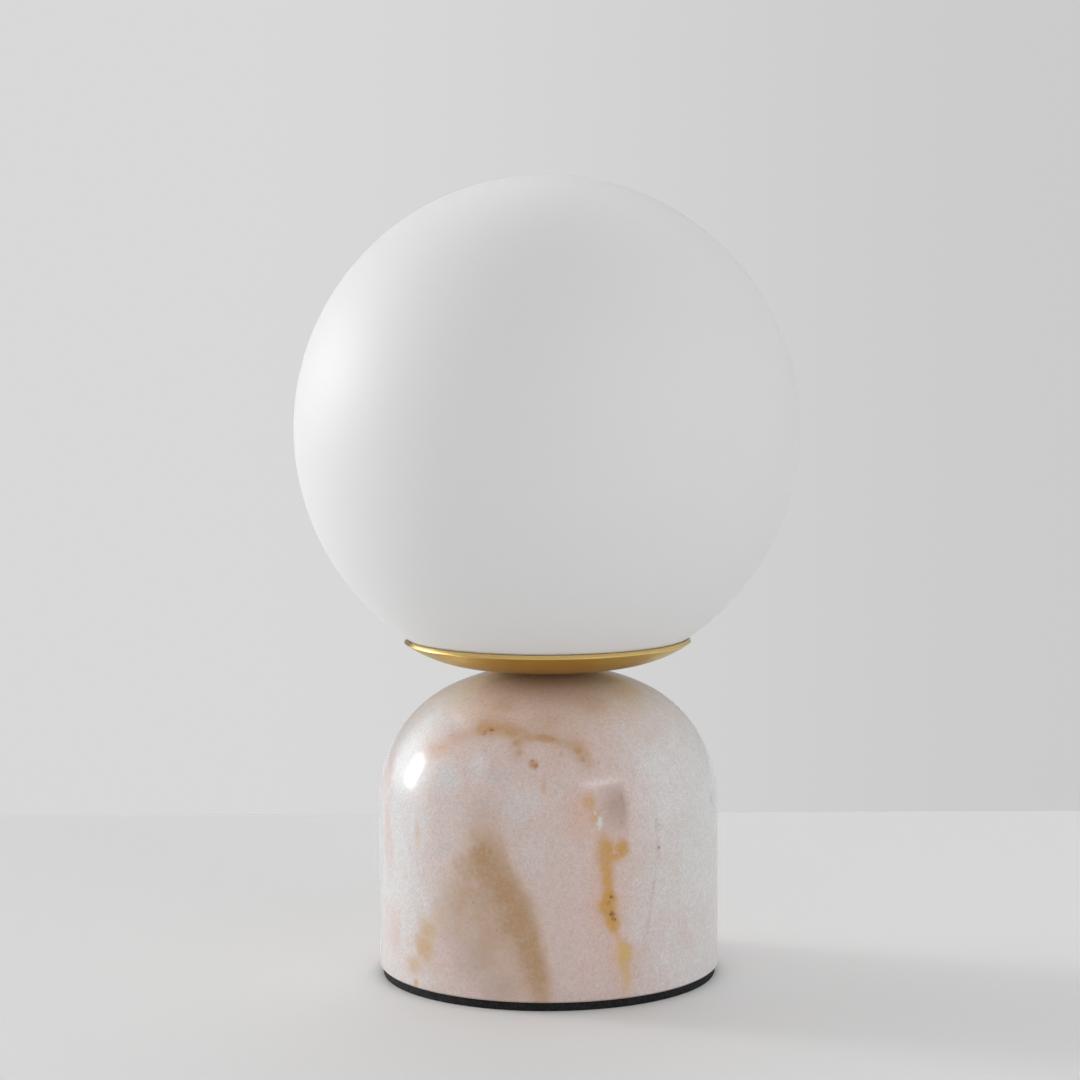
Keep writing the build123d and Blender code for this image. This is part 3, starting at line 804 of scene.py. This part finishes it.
    # The rest of the block: the same kinds of vein and stain, run by noise, kept off the front's own.
    _, back, _ = stone.parts(place)
    awayFromFront = stone.rise(back, -1 * settings["front"], settings["front"])
    calm = stone.moved(place, stone.scaled(drift, 0.35), shiver)
    sheet = stone.maths("ABSOLUTE", stone.stir(calm, "sheet") - 0.5)
    pool = stone.stir(stone.moved(calm, (0.13, 0.05, 0.02)), "pool")
    density = stone.rise(pool, *settings["poolEdge"]) * awayFromFront * (0.8 + (medium - 0.5) * 0.8)
    hue = stone.mix(stone.rise(density, 0.15, 0.75), settings["sand"], settings["gold"])
    speckled = stone.rise(density * (1 + stipple * 0.55), 0.0, 1.1)
    colour = stone.mix(speckled * coverSet["backStain"], colour, hue)
    blush = stone.fall(sheet, 0.0, settings["blushHalf"]) * awayFromFront * coverSet["backBlush"]
    colour = stone.mix(blush, colour, settings["peach"])
    vein = stone.fall(sheet, *settings["veinHalf"]) * awayFromFront * stone.rise(medium, 0.36, 0.58)
    vein = stone.rise(vein * (1 + stipple * 0.75), 0.08, 1.05) * coverSet["backVein"]
    colour = stone.mix(vein, colour, settings["ochre"])

    # Sugary crystal grain over everything.
    tints = stone.cells(place, settings["crystal"], "Color")
    crystals = stone.add("ShaderNodeSeparateColor", None, {0: tints})
    lightness = 0.96 + (grain - 0.5) * 0.5 + (fine - 0.5) * 0.2 + (crystals - 0.5) * 0.06
    # Painted light: the colour is lifted towards the top of the stone, in place of light falling on the
    # crown.
    lightness = lightness + stone.rise(height, 97.0, 117.0) * settings["crownPaintedLight"]
    colour = stone.mix(1.0, colour, stone.grey(lightness), "MULTIPLY")
    ripple = stone.bump(stone.stir(place, "ripple"), settings["rippleDepth"])
    return stone.use(
        Base_Color=colour, Roughness=settings["roughness"] + (fine - 0.5) * 0.05, Normal=ripple, IOR=1.5,
        Subsurface_Weight=0.05, Subsurface_Radius=(1.0, 0.75, 0.6), Subsurface_Scale=settings["waxDepth"],
    )


stone = makeStone()
install(stone, "lamp", "marble", marbleFinish(marbleSet), "marble_base")
print("stage: marble base is turned and veined")


padSet = {
    "bevel": 0.35 * mm,
    "sideSteps": 8,
    "steps": 480,
    "wander": 0.45 * mm,        # how far the cut edge strays inwards
    "ragSize": 1.6 * mm,
    "colour": srgb(27, 27, 27),
    "roughness": 0.74,
    "shine": 0.22,
    "cell": 0.55 * mm,
    "pore": 0.8 * mm,
    "poreDepth": 0.35 * mm,
    "dust": 1.3 * mm,
}


def foamFinish(settings):
    foam = Finish("closedCellFoam")
    place = foam.place()
    cells = foam.cells(place, settings["cell"])
    dust = foam.noise(place, settings["dust"], 4, 0.75)
    shade = foam.rise(dust, 0.28, 0.8) * 3.2 + 0.35
    colour = foam.mix(1.0, settings["colour"], foam.grey(shade), "MULTIPLY")
    roughness = settings["roughness"] + (dust - 0.5) * 0.25
    pores = foam.highest([cells, foam.noise(place, settings["pore"], 3, 0.7)])
    return foam.use(
        Base_Color=colour, Roughness=roughness, Specular_IOR_Level=settings["shine"],
        Normal=foam.bump(pores, settings["poreDepth"]),
    )


def makePad():
    radius, height, bevel = padHigh.x, padHigh.z, padSet["bevel"]
    outline = [(0, 0), (radius - bevel, 0)]
    outline += line((radius, bevel), (radius, height - bevel), padSet["sideSteps"])
    outline += [(radius - bevel, height), (0, height)]
    pad = turnPiece("foamPad", outline, padSet["steps"])
    group = pad.vertex_groups.new(name="cutEdge")
    side = [v.index for v in pad.data.vertices if math.hypot(v.co.x, v.co.y) > radius - bevel / 2]
    group.add(side, 1.0, "REPLACE")
    grainTexture = bpy.data.textures.new("foamEdge", "CLOUDS")
    grainTexture.noise_scale = padSet["ragSize"]
    applyModifier(
        pad, "DISPLACE", texture=grainTexture, texture_coords="LOCAL", strength=-padSet["wander"],
        mid_level=0.0, vertex_group="cutEdge", direction="NORMAL",
    )
    smooth(pad, 40)
    return pad


install(makePad(), "lamp", "black_foam", foamFinish(padSet), "foot_pad")
print("stage: foam pad is cut")


dishSet = {
    "sweep": 52.0 * mm,
    "sheet": 1.5 * mm,
    "clearance": 0.6 * mm,
    "turnedIn": 0.3 * mm,       # the rim's lip is pressed in towards the glass
    "hole": 5.25 * mm,
    "edgeBevel": 0.26 * mm,
    "sweepSteps": 26,
    "bowlSteps": 8,
    "steps": 320,
    "bandIn": 0.95 * mm,        # the trimmed edge is polished this far in and down
    "bandDown": 1.35 * mm,
    "colour": srgb(199, 163, 62),
    "roughness": 0.34,
    "ringDepth": 0.004 * mm,
    # The edge's paler tint is a painted highlight, the window's glint on the rim drawn into its colour; its
    # lower roughness is the real polish.
    "edgeColourAndPaintedGlint": srgb(236, 204, 132),
    "edgeRoughness": 0.16,
    "edgeRingDepth": 0.001 * mm,
}
latheSet = {
    "ring": 0.5 * mm,
    "cloud": 14 * mm,
}


def brassFinish(name, colour, roughness, ringDepth):
    # Spun brass: fine lathe rings about the axis, and faint clouding from handling.
    brass = Finish(name, Metallic=1.0)
    place = brass.place()
    x, y, z = brass.parts(place)
    fromAxis = brass.maths("SQRT", x * x + y * y)
    rings = brass.noise(brass.joined(fromAxis, z, 0.0), latheSet["ring"], 3, 0.7)
    clouding = brass.noise(place, latheSet["cloud"], 4, 0.6)
    shade = 0.94 + rings * 0.06 + clouding * 0.06
    tinted = brass.mix(1.0, colour, brass.grey(shade), "MULTIPLY")
    dulled = roughness + (clouding - 0.5) * 0.08 + (rings - 0.5) * 0.06
    return brass.use(Base_Color=tinted, Roughness=dulled, Normal=brass.bump(rings, ringDepth))


def makeDish():
    globeRadius = glassHigh.x
    globeZ = glassHigh.z - globeRadius
    bottom = dishLow.z
    sheet, sweep, sweepSteps = dishSet["sheet"], dishSet["sweep"], dishSet["sweepSteps"]
    sphere = globeRadius + dishSet["clearance"] + sheet
    sweepZ = bottom + sweep
    sweepR = math.sqrt((sphere - sweep) ** 2 - (globeZ - sweepZ) ** 2)
    endAngle = math.degrees(math.atan2(sweepZ - globeZ, sweepR))
    rimAngle = -math.degrees(math.acos(dishHigh.x / sphere))
    under = arc((sweepR, sweepZ), sweep, -90, endAngle, sweepSteps)
    under += arc((0, globeZ), sphere, endAngle, rimAngle, dishSet["bowlSteps"])[1:]
    upper = arc((sweepR, sweepZ), sweep - sheet, -90, endAngle, sweepSteps)
    upperRun = arc((0, globeZ), sphere - sheet, endAngle, rimAngle, dishSet["bowlSteps"])[1:]
    for step, (x, z) in enumerate(upperRun, 1):
        inwards = 1 - dishSet["turnedIn"] * (step / len(upperRun)) ** 3 / (sphere - sheet)
        upper.append((x * inwards, globeZ + (z - globeZ) * inwards))
    outline = [(dishSet["hole"], bottom)] + under + upper[::-1]
    outline += [(dishSet["hole"], bottom + sheet), (dishSet["hole"], bottom)]
    dish = turnPiece("spunDish", outline, dishSet["steps"])
    softenEdges(dish, dishSet["edgeBevel"], segments=3, angle=50)
    smooth(dish, 40)
    return dish


dish = makeDish()
for finish in (
    brassFinish("satinBrass", dishSet["colour"], dishSet["roughness"], dishSet["ringDepth"]),
    brassFinish(
        "polishedBrassAndPaintedGlint", dishSet["edgeColourAndPaintedGlint"], dishSet["edgeRoughness"], dishSet["edgeRingDepth"],
    ),
):
    dish.data.materials.append(finish)
# The rim's band gets the polished brass, whose paler colour carries the painted glint.
bandInner, bandLow = dishHigh.x - dishSet["bandIn"], dishHigh.z - dishSet["bandDown"]
for face in dish.data.polygons:
    if math.hypot(face.center.x, face.center.y) > bandInner and face.center.z > bandLow:
        face.material_index = 1
install(dish, "lamp", "brass", None, "brass_dish")
print("stage: brass dish is spun")


globeSet = {
    "wall": 2.5 * mm,
    "mouth": 43.1 * mm,
    "arcSteps": 110,
    "steps": 200,
    "colour": srgb(243, 243, 243),
    "roughness": 0.52,
    "cloud": 70 * mm,
    "etch": 0.35 * mm,
    "etchDepth": 0.004 * mm,
    "milkDepth": 2 * mm,
}


def opalFinish(settings):
    # Opal glass etched to a satin skin: dense white with a little depth.
    opal = Finish("satinOpal")
    place = opal.place()
    density = opal.noise(place, settings["cloud"], 3, 0.5)
    etch = opal.noise(place, settings["etch"], 2, 0.6)
    shade = 0.985 + density * 0.03
    colour = opal.mix(1.0, settings["colour"], opal.grey(shade), "MULTIPLY")
    roughness = settings["roughness"] + (density - 0.5) * 0.06 + (etch - 0.5) * 0.05
    return opal.use(
        Base_Color=colour, Roughness=roughness, Normal=opal.bump(etch, settings["etchDepth"]), IOR=1.5,
        Subsurface_Weight=0.25, Subsurface_Radius=(1.0, 1.0, 1.0), Subsurface_Scale=settings["milkDepth"],
    )


def makeGlobe():
    radius = glassHigh.x
    centre = (0, glassHigh.z - radius)
    inner = radius - globeSet["wall"]
    cut = glassLow.z
    outerAngle = -math.degrees(math.asin((centre[1] - cut) / radius))
    innerAngle = -math.degrees(math.acos(globeSet["mouth"] / inner))
    outline = arc(centre, radius, 90, outerAngle, globeSet["arcSteps"])
    outline += [(globeSet["mouth"], cut)]
    outline += arc(centre, inner, innerAngle, 90, globeSet["arcSteps"])
    outline[0] = (0, centre[1] + radius)
    outline[-1] = (0, centre[1] + inner)
    globe = turnPiece("opalGlobe", outline, globeSet["steps"])
    smooth(globe, 30)
    return globe


install(makeGlobe(), "globe", "opal_glass", opalFinish(globeSet), "glass_globe")
print("stage: opal globe is blown")


def plainFinish(name, colour, roughness, metallic, blotch, variation, bumpDepth, **extra):
    # A moulded, fired or plated surface: slight mottling in tone and gloss, with fine texture.
    made = Finish(name, Metallic=metallic)
    place = made.place()
    mottle = made.noise(place, blotch, 4, 0.6)
    texture = made.noise(place, blotch / 9, 3, 0.6)
    shade = 1 - variation / 2 + mottle * variation
    tinted = made.mix(1.0, colour, made.grey(shade), "MULTIPLY")
    gloss = roughness + (mottle - 0.5) * 0.15 + (texture - 0.5) * 0.08
    return made.use(Base_Color=tinted, Roughness=gloss, Normal=made.bump(texture, bumpDepth), **extra)


# Name, colour, roughness, metal, size of the mottling, how much it varies, and depth of the texture.
finishSet = {
    "black_rubber": plainFinish("mouldedRubber", srgb(34, 34, 35), 0.62, 0.0, 3 * mm, 0.35, 0.03 * mm),
    "clear_silicone": plainFinish("milkySilicone", srgb(222, 222, 216), 0.45, 0.0, 6 * mm, 0.06, 0.01 * mm),
    "zinc_steel": plainFinish("zincPlate", srgb(196, 196, 192), 0.33, 1.0, 5 * mm, 0.14, 0.004 * mm),
    "spring_steel": plainFinish("springSteel", srgb(205, 206, 208), 0.24, 1.0, 6 * mm, 0.10, 0.002 * mm),
    "stem_steel": plainFinish("platedSteel", srgb(206, 204, 198), 0.30, 1.0, 5 * mm, 0.12, 0.004 * mm),
    "white_plastic": plainFinish("bushPlastic", srgb(226, 226, 222), 0.48, 0.0, 4 * mm, 0.05, 0.01 * mm),
    "holder_ceramic": plainFinish("steatite", srgb(226, 221, 208), 0.55, 0.0, 2 * mm, 0.10, 0.04 * mm),
    "contact_bronze": plainFinish("contactBronze", srgb(200, 150, 96), 0.30, 1.0, 3 * mm, 0.15, 0.003 * mm),
    "bulb_ceramic": plainFinish("glazedCollar", srgb(238, 238, 234), 0.22, 0.0, 6 * mm, 0.04, 0.006 * mm),
    "bulb_cover": plainFinish(
        "opalCover", srgb(240, 240, 236), 0.35, 0.0, 9 * mm, 0.03, 0.003 * mm,
        Subsurface_Weight=0.3, Subsurface_Scale=3 * mm,
    ),
    "white_board": plainFinish("circuitBoard", srgb(232, 232, 228), 0.42, 0.0, 3 * mm, 0.06, 0.006 * mm),
    "led_phosphor": plainFinish("phosphor", srgb(228, 200, 88), 0.38, 0.0, 1 * mm, 0.10, 0.006 * mm),
    "brass": brassFinish("turnedBrass", srgb(208, 164, 88), 0.26, 0.003 * mm),
}
copySet = {
    # node: (piece, edge softening in mm)
    "cord_grommet": ("entryBush", 0.15),
    "clamp_washer": ("clampWasher", 0.15),
    "base_lock_washer": ("baseSplitWasher", 0.12),
    "base_nut": ("baseNut", 0.12),
    "stem_tube": ("lampTube", 0.1),
    "stem_bush": ("tubeBush", 0.1),
    "dish_gasket": ("dishGasket", 0.15),
    "globe_seal": ("globeRest", 0.15),
    "gallery_plate": ("galleryPlate", 0.15),
    "gallery_springs": ("leafSprings", 0.08),
    "spring_rivets": ("springRivets", 0.0),
    "dish_washer": ("dishWasher", 0.12),
    "dish_nut": ("dishNut", 0.12),
    "stem_sleeve": ("tubeSleeve", 0.2),
    "holder_cup": ("holderCup", 0.15),
    "holder_lock_washer": ("holderSplitWasher", 0.12),
    "holder_nut": ("holderNut", 0.12),
    "holder_bracket": ("holderBracket", 0.15),
    "holder_ceramic": ("holderBody", 0.15),
    "holder_screws": ("holderScrews", 0.08),
    "contact_clips": ("contactClips", 0.05),
    "bulb_pins": ("bulbPins", 0.0),
    "bulb_foot": ("bulbFoot", 0.25),
    "bulb_cover": ("bulbCover", 0.0),
    "led_core": ("ledBoard", 0.15),
    "led_chips": ("ledChips", 0.08),
}
slotOf = {part["node"]: part["material_slot"] for part in frame["record"]["subparts"]}
bodyOf = {node: body for body, held in frame["record"]["behaviour"]["bodies"].items() for node in held}
for node, (name, bevel) in copySet.items():
    piece = copyOfNode(node, name, bevel * mm)
    install(piece, bodyOf[node], slotOf[node], finishSet[slotOf[node]], node)
print("stage: working parts are finished")

deselect()
